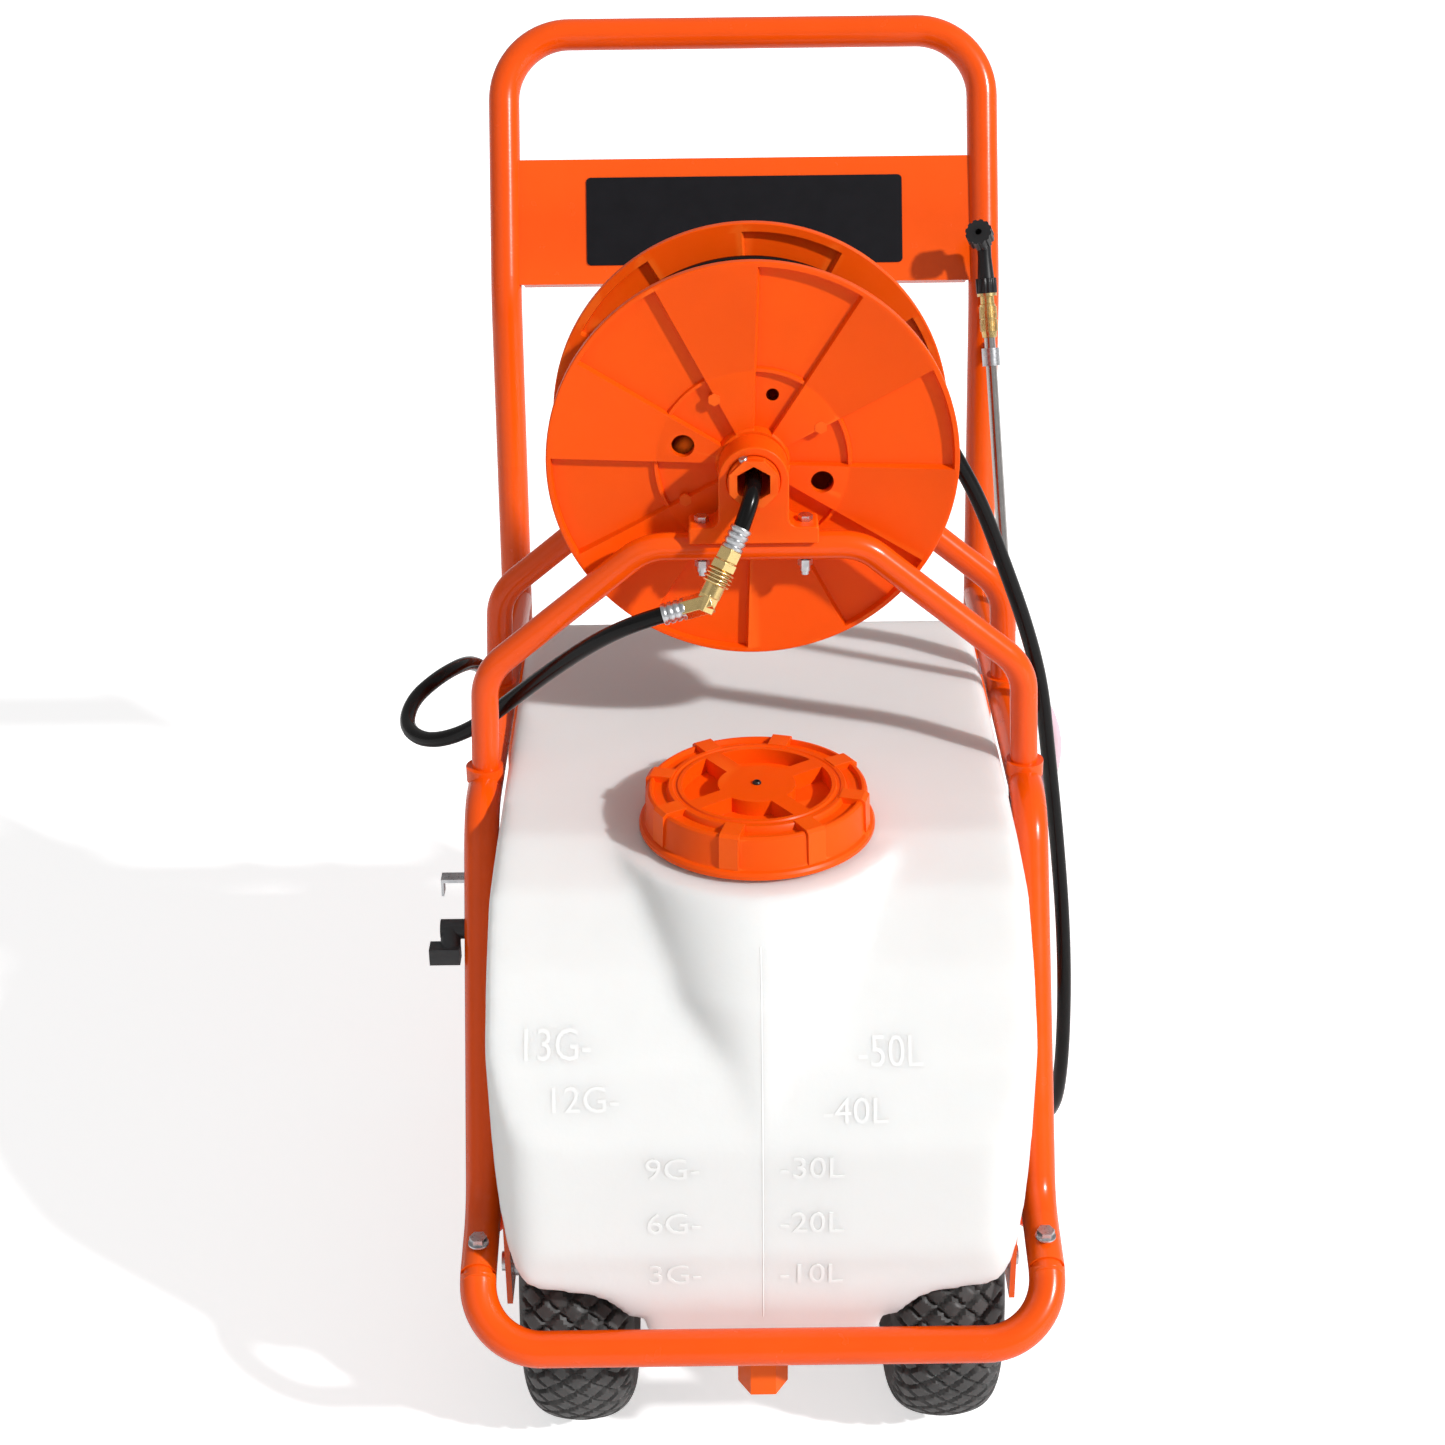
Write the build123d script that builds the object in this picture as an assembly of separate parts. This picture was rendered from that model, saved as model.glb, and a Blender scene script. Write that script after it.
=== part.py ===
"""Wheeled sprayer cart: a welded tube frame carries a 60 litre tank, a hose reel, a pump and a battery.

Millimetres, +Z up. X runs across the cart and the front bumper is at -Y. Heights are from the floor.
Lengthwise places are written as distances behind the bumper's centreline, and at() turns them into Y.
"""
from build123d import *
from math import atan2, cos, degrees, hypot, pi, radians, sin, tan
import os

# Frame
BUMPER_TO_ORIGIN = 419.0
RAIL_X = 218.5
TUBE_R = 14.0
WALL = 1.5
STAND_R = 11.0
LOWER_R = 12.5
BAR_R = 11.0
RAIL_Z = 490.0
LOWER_Z = 165.0
SEAM = (706.0, 616.0)
HANDLE_KNEE = (733.0, 765.0)
HANDLE_TOP = (838.0, 983.0)
LEG_SLOPE = (HANDLE_KNEE[0] - SEAM[0]) / (HANDLE_KNEE[1] - SEAM[1])
BRACE_Z = 110.0
TRAY_Z = 205.0

# Wheels
WHEEL_BACK = 154.0
WHEEL_R = 127.0
WHEEL_X = 146.0
TYRE_W = 90.0
AXLE_R = 8.0

# Tank
TANK_HALF = 200.0
TANK_WALL = 4.0
TANK_FRONT = 20.0
TANK_REAR = 575.0
SUMP_Z = 166.0
NECK_BACK = 205.0
NECK_TOP = 520.0
NECK_R = 76.0
LID_R = 91.0
LID_TOP = 542.0
DRAIN_BACK = 42.0
SPOUT_Z = 112.0
SPOUT_R = 13.0

# Reel
STAND_BACK = 305.0
REAR_STAND_BACK = 463.0
STAND_TOP_Z = 697.0
REEL_Z = 756.0
FLANGE_R = 160.0
FLANGE_FRONT = 326.0
FLANGE_REAR = 442.0
FLANGE_T = 8.0
DRUM_R = 74.0
WIND_R = 124.0
HUB_R = 20.0
RUNNING = 0.05

# Hoses
HOSE_R = 6.5
CLEAR_R = 7.0
GAP = 0.4

PARTS = {}


def at(x, back, z):
    return Vector(x, back - BUMPER_TO_ORIGIN, z)


def leg_back(z):
    """Where the straight rear leg's centreline is at height z."""
    return SEAM[0] - (SEAM[1] - z) * LEG_SLOPE


def rod(start, end, r, bore=0.0):
    """A round bar, or a tube when it has a bore, between two points."""
    axis = end - start
    plane = Plane(origin=start, z_dir=axis)
    face = plane * Circle(r)
    if bore:
        face -= plane * Circle(bore)
    return extrude(face, axis.length, dir=axis.normalized())


def along(start, direction, length, r, bore=0.0):
    return rod(start, start + direction.normalized() * length, r, bore)


def cone(start, end, r_start, r_end):
    axis = end - start
    plane = Plane(origin=(start + end) / 2, z_dir=axis)
    return plane * Cone(r_start, r_end, axis.length)


def block(x, back, z):
    """A box from three (low, high) pairs."""
    low, high = at(x[0], back[0], z[0]), at(x[1], back[1], z[1])
    return Pos(*((low + high) / 2)) * Box(*(high - low))


def hexagon(start, direction, length, across):
    plane = Plane(origin=start, z_dir=direction)
    return extrude(plane * RegularPolygon(across / 2, 6, major_radius=False), length)


def bent(points, radii, r):
    """A round bar swept along straight runs joined by arcs."""
    if len(points) == 2:
        return rod(points[0], points[1], r)
    path = FilletPolyline(*points, radius=radii)
    return sweep(Plane(origin=path @ 0, z_dir=path % 0) * Circle(r), path=path)


def tube(points, radii, r):
    """A bent tube and the solid bar of its outside, which copes its neighbours."""
    bar = bent(points, radii, r)
    return bar - bent(points, radii, r - WALL), bar


def mirror_x(shape):
    return mirror(shape, about=Plane.YZ)


def both_sides(name, right):
    PARTS[name + "_right"] = right
    PARTS[name + "_left"] = mirror_x(right)


def bolt(head, direction, length, r, across, head_h):
    """A hex bolt whose head's underside is at head."""
    return along(head, direction, length, r) + hexagon(head, -direction, head_h, across)


def group(*shapes):
    """Separate solids that share one node."""
    return Compound([solid for shape in shapes for solid in shape.solids()])


UP, DOWN = Vector(0, 0, 1), Vector(0, 0, -1)
RIGHT, REARWARD = Vector(1, 0, 0), Vector(0, 1, 0)


# --- frame ---------------------------------------------------------------------------------

def make_frame():
    x = RAIL_X
    bumper_points = [at(x, 42, 203), at(x, 0, 165), at(-x, 0, 165), at(-x, 42, 203)]
    bumper, bumper_bar = tube(bumper_points, 50, TUBE_R)
    PARTS["front_bumper"] = bumper

    rail_points = [at(x, 42, 203), at(x, 104, 218), at(x, 262, RAIL_Z), at(x, leg_back(RAIL_Z), RAIL_Z)]
    rail, rail_bar = tube(rail_points, [50, 50], TUBE_R)
    low_points = [at(x, 134, 270), at(x, 134, LOWER_Z), at(x, leg_back(LOWER_Z), LOWER_Z)]
    low, low_bar = tube(low_points, 40, LOWER_R)

    foot_z = 14.0
    seam, foot = at(x, *SEAM), at(x, leg_back(foot_z), foot_z)
    rise = (seam - foot).normalized()
    leg_bar = rod(foot, seam, TUBE_R)
    spigot_r = TUBE_R - WALL - 0.2
    leg = rod(foot, seam, TUBE_R, TUBE_R - WALL) + rod(seam - rise * 4, seam + rise * 55, spigot_r, 11)
    leg += rod(seam - rise * 4, seam, TUBE_R - 0.5, 11)

    both_sides("side_rail", rail - bumper_bar - leg_bar)
    low = low - rail_bar - leg_bar
    PARTS["lower_rails"] = group(low, mirror_x(low))
    PARTS["rear_legs"] = group(leg, mirror_x(leg))
    foot_pad = Pos(*at(x, leg_back(18), 20)) * Cylinder(21, 40)
    foot_pad = fillet(foot_pad.edges().group_by(Axis.Z)[0], 3) - leg_bar
    PARTS["feet"] = group(foot_pad, mirror_x(foot_pad))

    handle_points = [at(x, *SEAM), at(x, *HANDLE_KNEE), at(x, *HANDLE_TOP)]
    handle_points += [at(-p.X, p.Y + BUMPER_TO_ORIGIN, p.Z) for p in reversed(handle_points)]
    handle, handle_bar = tube(handle_points, [150, 60, 60, 150], TUBE_R)
    PARTS["handle_loop"] = handle

    def cross(back, z, side_bar):
        bar = rod(at(-x, back, z), at(x, back, z), BAR_R, BAR_R - WALL)
        return bar - side_bar - mirror_x(side_bar)

    support_z = SUMP_Z - BAR_R
    PARTS["cross_bars"] = group(
        cross(310, support_z, low_bar),
        cross(545, support_z, low_bar),
        cross(leg_back(BRACE_Z), BRACE_Z, leg_bar),
        cross(leg_back(TRAY_Z - BAR_R), TRAY_Z - BAR_R, leg_bar),
    )

    bracket = Plane.YZ * Polygon(
        *[(b - BUMPER_TO_ORIGIN, z) for b, z in ((118, 225), (140, 225), (222, 172), (190, 112), (118, 112))],
        align=None,
    )
    bracket = Pos(201.5, 0, 0) * extrude(bracket, 4.5, dir=RIGHT)
    axle_hole = rod(at(150, WHEEL_BACK, WHEEL_R), at(240, WHEEL_BACK, WHEEL_R), AXLE_R + 0.1)
    bracket = bracket - low_bar - rail_bar - axle_hole
    PARTS["axle_brackets"] = group(bracket, mirror_x(bracket))

    head = at(x, 56, 223.7)
    bolts = bolt(head, DOWN, 34, 3.5, 12, 5) + along(head, DOWN, 1.2, 8)
    bolt_hole = along(at(x, 56, 240), DOWN, 60, 3.6)
    PARTS["side_rail_right"] -= bolt_hole
    PARTS["side_rail_left"] -= mirror_x(bolt_hole)
    return rail_bar, leg_bar, handle_bar, group(bolts, mirror_x(bolts))


def make_panel(handle_bar):
    """The sheet panel between the handle's sides, with a plain label on its front."""
    run, rise = 787 - 736, 880 - 778
    lean = degrees(atan2(run, rise))
    centre = at(0, (787 + 736) / 2, (880 + 778) / 2)
    upright = Pos(*centre) * Rot(-lean, 0, 0)
    height = hypot(run, rise)
    sheet = upright * Pos(0, -3, 0) * Box(424, 2, height)
    for side in (1, -1):
        sheet += upright * Pos(0, 3, side * (height / 2 - 1)) * Box(404, 14, 2)
    PARTS["handle_panel"] = sheet - handle_bar
    plate = fillet(Box(288, 1, 80).edges().filter_by(Axis.Y), 4)
    PARTS["panel_label"] = upright * Pos(0, -4.5, 0) * plate


def make_stand(name, back, rail_bar):
    """An inverted U on the two side rails that carries one end of the reel."""
    right = [at(RAIL_X, back, RAIL_Z), at(214, back, 590), at(84, back, STAND_TOP_Z)]
    points = right + [at(-p.X, back, p.Z) for p in reversed(right)]
    stand, bar = tube(points, 45, STAND_R)
    holes = [along(at(s * 40, back, 730), DOWN, 60, 3.2) for s in (1, -1)]
    stand = stand - rail_bar - mirror_x(rail_bar)
    for hole in holes:
        stand -= hole
    collar = along(at(RAIL_X, back, RAIL_Z + 6), UP, 12, STAND_R + 4) - bar - rail_bar
    PARTS[name + "_reel_stand"] = stand + collar + mirror_x(collar)
    return bar


# --- tank ----------------------------------------------------------------------------------

def tank_body(inset):
    """The tank's outside, or its inside when inset is the wall."""
    half = TANK_HALF - inset
    side = Polyline(
        *[
            (b - BUMPER_TO_ORIGIN, z)
            for b, z in (
                (TANK_FRONT + inset, SUMP_Z + inset),
                (TANK_FRONT + inset, 350),
                (58 + inset * 0.8, 440 - inset * 0.6),
                (112 + inset * 0.5, 488 - inset * 0.9),
                (180, 505 - inset),
                (TANK_REAR - inset, 514 - inset),
                (TANK_REAR - inset, SUMP_Z + inset),
            )
        ],
        close=True,
    )
    profile = Plane.YZ * make_face(side)
    profile = fillet(profile.vertices().group_by(Axis.Y)[-1], 28 - inset)
    body = extrude(profile, half, both=True)
    plan_centre = (TANK_FRONT + TANK_REAR) / 2 - BUMPER_TO_ORIGIN
    plan = Pos(0, plan_centre) * RectangleRounded(2 * half, TANK_REAR - TANK_FRONT - 2 * inset, 44 - inset)
    body &= extrude(plan, 700)
    right = [(0, SUMP_Z), (86, SUMP_Z), (97, 200), (176, 202), (TANK_HALF, 300), (TANK_HALF, 470), (184, 530)]
    outline = Polyline(*right, *[(-x, z) for x, z in reversed(right[1:])], close=True)
    front = Plane.XZ * offset(make_face(outline), -inset) if inset else Plane.XZ * make_face(outline)
    body &= extrude(front, 700, both=True)
    for s in (1, -1):
        inner = at(s * (90 - inset), WHEEL_BACK, WHEEL_R)
        arch = rod(inner, at(s * 230, WHEEL_BACK, WHEEL_R), WHEEL_R + 12 + inset)
        body -= arch
    shoulder = [(24, 352, 5), (125, 440, 75), (NECK_BACK, 502, 108)]
    for (b0, z0, r0), (b1, z1, r1) in zip(shoulder, shoulder[1:]):
        low = Plane(origin=at(0, b0, z0 - inset * (z0 > 400))) * Circle(r0 - inset)
        high = Plane(origin=at(0, b1, z1 - inset)) * Circle(r1 - inset)
        body += loft([low, high])
    return body


def make_tank():
    shell = tank_body(0) + along(at(0, NECK_BACK, 470), UP, NECK_TOP - 470, NECK_R)
    inside = tank_body(TANK_WALL) + along(at(0, NECK_BACK, 430), UP, 200, NECK_R - TANK_WALL)
    spout = at(0, DRAIN_BACK, SUMP_Z)
    tank = shell - inside + along(spout, DOWN, SUMP_Z - SPOUT_Z, SPOUT_R)
    tank -= along(spout + UP * 10, DOWN, SUMP_Z + 20 - SPOUT_Z, SPOUT_R - 5)
    outlet = at(130, TANK_REAR - 10, 250)
    tank -= along(outlet, REARWARD, 20, 6)
    PARTS["tank"] = tank

    PARTS["drain_cap"] = drain_cap()
    elbow = along(at(130, TANK_REAR, 250), REARWARD, 17, 9) + along(at(121, TANK_REAR + 17, 250), RIGHT, 29, 9)
    elbow -= along(at(130, TANK_REAR, 250), REARWARD, 17, 4) + along(at(130, TANK_REAR + 17, 250), RIGHT, 30, 4)
    basket = along(at(0, NECK_BACK, 470), UP, NECK_TOP - 470, NECK_R - 9, NECK_R - 11)
    basket += along(at(0, NECK_BACK, 468), UP, 2, NECK_R - 9)
    basket += along(at(0, NECK_BACK, NECK_TOP), UP, 2, NECK_R, NECK_R - 11)
    PARTS["strainer_basket"] = basket
    return elbow


def drain_cap():
    top = at(0, DRAIN_BACK, SPOUT_Z + 14)
    return hexagon(top, DOWN, 30, 34) - along(top + UP, DOWN, 15 + GAP, SPOUT_R + GAP)


def make_lid():
    """The screw lid: a ribbed skirt, a flat ring and four spokes between sunken wells."""
    centre = at(0, NECK_BACK, 0)
    base, gasket_z = 508.0, NECK_TOP + 2.4
    lid = along(centre + UP * base, UP, 5, LID_R) + along(centre + UP * (base + 5), UP, 26, LID_R - 5)
    top = LID_TOP - 3
    lid += along(centre + UP * top, UP, 3, LID_R - 8)
    lid -= along(centre + UP * (base - 1), UP, gasket_z + 3 - base + 1, NECK_R + 3)
    well = along(centre + UP * (gasket_z + 7), UP, 30, 57.5, 30)
    for k in range(4):
        angle = radians(90 * k + 35)
        spoke = Pos(*(centre + Vector(cos(angle), sin(angle)) * 44 + UP * (LID_TOP - 5)))
        well -= spoke * Rot(0, 0, degrees(angle)) * Box(40, 15, 44)
    lid -= well
    for k in range(12):
        angle = radians(30 * k)
        rib = Pos(*(centre + Vector(cos(angle), sin(angle)) * (LID_R - 5) + UP * (base + 17)))
        lid += rib * Rot(0, 0, degrees(angle)) * Box(5, 7, 26)
    PARTS["tank_lid"] = lid
    PARTS["lid_gasket"] = along(centre + UP * gasket_z, UP, 2.6, NECK_R, NECK_R - 10)


# --- wheels --------------------------------------------------------------------------------

def make_wheels():
    hub = at(WHEEL_X, WHEEL_BACK, WHEEL_R)
    half = TYRE_W / 2
    section = [(54, -28), (80, -half), (100, -half), (118, -34), (WHEEL_R, -18)]
    ring = Polyline(*section, *[(r, -w) for r, w in reversed(section)], close=True)
    hollow = [(52, -20), (62, -20), (82, -37), (98, -37), (113, -28), (119, -14)]
    air = Polyline(*hollow, *[(r, -w) for r, w in reversed(hollow)], close=True)
    tyre = Pos(*hub) * Rot(0, 90, 0) * revolve(Plane.XZ * (make_face(ring) - make_face(air)), Axis.Z)
    both_sides("tyre", tyre)
    rim = along(hub - RIGHT * 28, RIGHT, 56, 53.8, 50) + along(hub - RIGHT * 2, RIGHT, 4, 50.5, 15)
    rim += along(hub - RIGHT * 30, RIGHT, 60, 18, 14.1)
    for k in range(5):
        spot = hub + Vector(0, cos(radians(72 * k)), sin(radians(72 * k))) * 34
        rim -= along(spot - RIGHT * 10, RIGHT, 20, 7)
    bearings = along(hub - RIGHT * 30, RIGHT, 12, 14, AXLE_R + RUNNING)
    bearings += along(hub + RIGHT * 18, RIGHT, 12, 14, AXLE_R + RUNNING)
    both_sides("rim", group(rim, bearings))
    collars = rod(at(WHEEL_X + 30.5, WHEEL_BACK, WHEEL_R), at(201.4, WHEEL_BACK, WHEEL_R), 12, AXLE_R)
    collars += rod(at(WHEEL_X - 42, WHEEL_BACK, WHEEL_R), at(WHEEL_X - 30.5, WHEEL_BACK, WHEEL_R), 13, AXLE_R)
    shaft = rod(at(-212, WHEEL_BACK, WHEEL_R), at(212, WHEEL_BACK, WHEEL_R), AXLE_R)
    PARTS["axle"] = shaft + collars + mirror_x(collars)


# --- reel ----------------------------------------------------------------------------------

def flange(face_back, outward):
    """A reel side: a thin disc, a rim, stepped sectors, a ring rib and four holes on its outer side."""
    centre = at(0, face_back, REEL_Z)
    out = REARWARD * outward
    disc = along(centre, out, 3.0, FLANGE_R, HUB_R)
    disc += along(centre, out, FLANGE_T, FLANGE_R, FLANGE_R - 5)
    disc += along(centre, out, FLANGE_T - 2, DRUM_R + 1.5, DRUM_R - 1.5)
    disc += along(centre, out, FLANGE_T + 3, 27, HUB_R)
    plane = Plane(origin=centre, x_dir=(1, 0, 0), z_dir=out)
    for k in range(6):
        start, end = radians(60 * k + 28), radians(60 * k + 58)
        wedge = Polygon(
            (0, 0), *[((FLANGE_R - 4) * cos(a), (FLANGE_R - 4) * sin(a))
                      for a in (start, start + (end - start) / 3, end - (end - start) / 3, end)],
            align=None,
        )
        disc += extrude(plane * (wedge - Circle(24)), FLANGE_T - 2.5)
    for k in range(4):
        angle = radians(90 * k + 74)
        spot = centre + Vector(cos(angle), 0, sin(angle)) * 58
        disc -= along(spot - out, out, 20, 8)
    return disc


def make_reel():
    hex_bore = hexagon(at(0, 270, REEL_Z), REARWARD, 60, 26)
    front_hub = rod(at(0, 286, REEL_Z), at(0, FLANGE_FRONT + FLANGE_T, REEL_Z), HUB_R)
    front_hub += hexagon(at(0, 284, REEL_Z), REARWARD, 5, 36)
    inner_front, inner_rear = FLANGE_FRONT + FLANGE_T, FLANGE_REAR - FLANGE_T
    PARTS["reel_front_flange"] = flange(inner_front, -1) + front_hub - hex_bore
    rear_hub = rod(at(0, inner_rear, REEL_Z), at(0, 486, REEL_Z), HUB_R)
    rear_hub -= rod(at(0, 470, REEL_Z), at(0, 487, REEL_Z), 8)
    PARTS["reel_rear_flange"] = flange(inner_rear, 1) + rear_hub
    PARTS["reel_drum"] = rod(at(0, inner_front, REEL_Z), at(0, inner_rear, REEL_Z), DRUM_R, DRUM_R - 3)
    wound = (at(0, inner_front + GAP, REEL_Z), at(0, inner_rear - GAP, REEL_Z))
    PARTS["hose_winding"] = rod(*wound, WIND_R, DRUM_R + GAP)

    arm = block((-12, 12), (486, 492), (REEL_Z - 110, REEL_Z)) + along(at(0, 486, REEL_Z), REARWARD, 6, 17)
    arm += along(at(0, 486, REEL_Z - 110), REARWARD, 6, 12)
    arm += along(at(0, 492, REEL_Z - 110), REARWARD, 74, 5)
    PARTS["crank_arm"] = arm + along(at(0, 471, REEL_Z), REARWARD, 15, 7.9)
    grip = rod(at(0, 493, REEL_Z - 110), at(0, 565, REEL_Z - 110), 13, 5 + RUNNING)
    PARTS["crank_knob"] = grip + along(at(0, 566.5, REEL_Z - 110), REARWARD, 4, 12) \
        + along(at(0, 565, REEL_Z - 110), REARWARD, 1.5, 13, 6)

    tie = rod(at(0, inner_front - 4, REEL_Z), at(0, inner_rear + 4, REEL_Z), 3)
    ties = [tie.moved(Location((60 * cos(radians(a)), 0, 60 * sin(radians(a))))) for a in (29, 119, 209, 299)]
    heads = [hexagon(at(60 * cos(radians(a)), inner_front - 4, REEL_Z + 60 * sin(radians(a))), -REARWARD, 4, 9)
             for a in (29, 119, 209, 299)]
    bolts = Part() + ties + heads
    PARTS["reel_tie_bolts"] = bolts
    PARTS["reel_front_flange"] -= bolts
    PARTS["reel_rear_flange"] -= bolts


def make_bearing(back, stand_bar):
    """A pillow block on top of a reel stand, held by two bolts with domed nuts."""
    depth = 15.0
    low = (back - depth, back + depth)
    base_z = STAND_TOP_Z + STAND_R - 4
    base = block((-50, 50), low, (base_z, base_z + 14))
    arch = rod(at(0, low[0], REEL_Z), at(0, low[1], REEL_Z), 27) + block((-27, 27), low, (base_z, REEL_Z))
    body = base + arch - rod(at(0, low[0] - 1, REEL_Z), at(0, low[1] + 1, REEL_Z), HUB_R + RUNNING)
    body -= stand_bar
    fasteners = []
    for s in (1, -1):
        body -= along(at(s * 40, back, 760), DOWN, 80, 3.2)
        top = at(s * 40, back, base_z + 14)
        fasteners.append(bolt(top, DOWN, 45, 3, 10, 4.5))
        nut = hexagon(at(s * 40, back, STAND_TOP_Z - STAND_R - 5.5), UP, 5.5, 10)
        dome = along(at(s * 40, back, STAND_TOP_Z - STAND_R - 10), UP, 4.5, 4)
        fasteners.append(nut + dome)
    return body, fasteners


# --- fittings and hoses --------------------------------------------------------------------

def hose(name, route, r, bore=0.0):
    """A hose of straight runs and arcs. Each arc is as large as its two runs allow."""
    points = [at(*p) for p in route]
    radii = []
    for a, b, c in zip(points, points[1:], points[2:]):
        turn = radians((b - a).get_angle(c - b))
        radii.append(0.45 * min((b - a).length, (c - b).length) / tan(turn / 2))
    path = FilletPolyline(*points, radius=radii)
    solid = sweep(Plane(origin=path @ 0, z_dir=path % 0) * Circle(r), path=path)
    print(name, "length", round(path.length), "smallest radius", round(min(radii)),
          "volume ratio", round(solid.volume / (pi * r * r * path.length), 4))
    PARTS[name] = solid


STUB_ROUTE = [(0, 312, 756), (0, 296, 755.4), (-1, 281, 750), (-5, 271, 739), (-10.4, 265, 726)]
INLET_ROUTE = [
    (-68, 244, 667), (-88, 251, 658), (-118, 270, 636), (-152, 296, 603), (-192, 325, 560), (-232, 348, 518),
    (-270, 368, 497), (-294, 400, 494), (-292, 438, 502), (-272, 472, 508), (-254, 510, 503), (-248, 552, 484),
    (-240, 592, 456), (-216, 618, 424), (-184, 626, 392), (-160, 627.5, 362), (-150, 628, 335),
]
TAIL_ROUTE = [
    (114.9, 392, 819.9), (136, 392, 782), (160, 393, 741), (184, 396, 697), (206, 402, 640), (228, 411, 580),
    (245, 421, 520), (254, 428, 458), (263, 434, 398), (271, 438, 338), (278, 441, 278), (283, 444, 218),
    (286, 448, 158), (287, 454, 104), (286, 467, 58), (281, 492, 25), (274, 526, 19), (266, 555, 42),
    (259, 570, 85), (254, 575, 135), (251, 575, 190),
]
CLEAR_ROUTE = [
    (150, 592, 250), (186, 592.5, 252), (226, 594, 264), (262, 598, 292), (286, 604, 334), (288, 612, 382),
    (264, 620, 421), (224, 626, 440), (180, 629, 442), (146, 629.5, 435),
]


def make_hoses():
    hose("hub_hose", STUB_ROUTE, HOSE_R)
    hose("inlet_hose", INLET_ROUTE, HOSE_R)
    hose("hose_tail", TAIL_ROUTE, HOSE_R)
    hose("return_hose", CLEAR_ROUTE, CLEAR_R)


def make_swivel():
    """Crimped ferrules, a brass swivel and a brass elbow between the reel's short hose and the inlet hose."""
    top, elbow, left = at(*STUB_ROUTE[-1]), at(-37, 244, 676), at(*INLET_ROUTE[0])
    down = (elbow - top).normalized()
    side = (left - elbow).normalized()
    upper_ferrule = along(top, down, 16, 8.4)
    swivel = hexagon(top + down * 16, down, 11, 19) + along(top + down * 27, down, 4, 8)
    swivel += along(top + down * 31, down, 12, 11)
    length = (elbow - top).length
    corner = along(top + down * 43, down, length - 43, 8.5) + Pos(*elbow) * Sphere(8.5)
    corner += hexagon(elbow, side, 19, 15)
    PARTS["brass_swivel"] = swivel + corner
    PARTS["hose_ferrules"] = group(upper_ferrule, rod(elbow + side * 19, left, 8.4))


def make_pump(tank_elbow):
    """A diaphragm pump on the tray: motor, head, feet and two hose barbs."""
    z = TRAY_Z + 3
    axis = at(-108, 646, z + 40)
    feet = [block((x, x + 14), (b, b + 10), (z, z + 8)) for x in (-186, -120) for b in (622, 660)]
    base = Part() + feet + block((-190, -102), (618, 674), (z + 8, z + 11))
    PARTS["pump_motor"] = along(axis, RIGHT, 66, 25) + along(axis + RIGHT * 66, RIGHT, 6, 12)
    head = block((-178, -108), (620, 672), (z + 11, z + 66))
    PARTS["pump_head"] = fillet(head.edges().filter_by(Axis.X), 7) + base
    outlet = along(at(-150, 628, z + 66), UP, 335 - z - 66, 6) + hexagon(at(-150, 628, z + 66), UP, 12, 18)
    inlet = hexagon(at(-178, 646, z + 40), -RIGHT, 10, 16) + along(at(-188, 646, z + 40), -RIGHT, 12, 6)
    PARTS["hose_barbs"] = group(outlet, inlet, tank_elbow)


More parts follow.
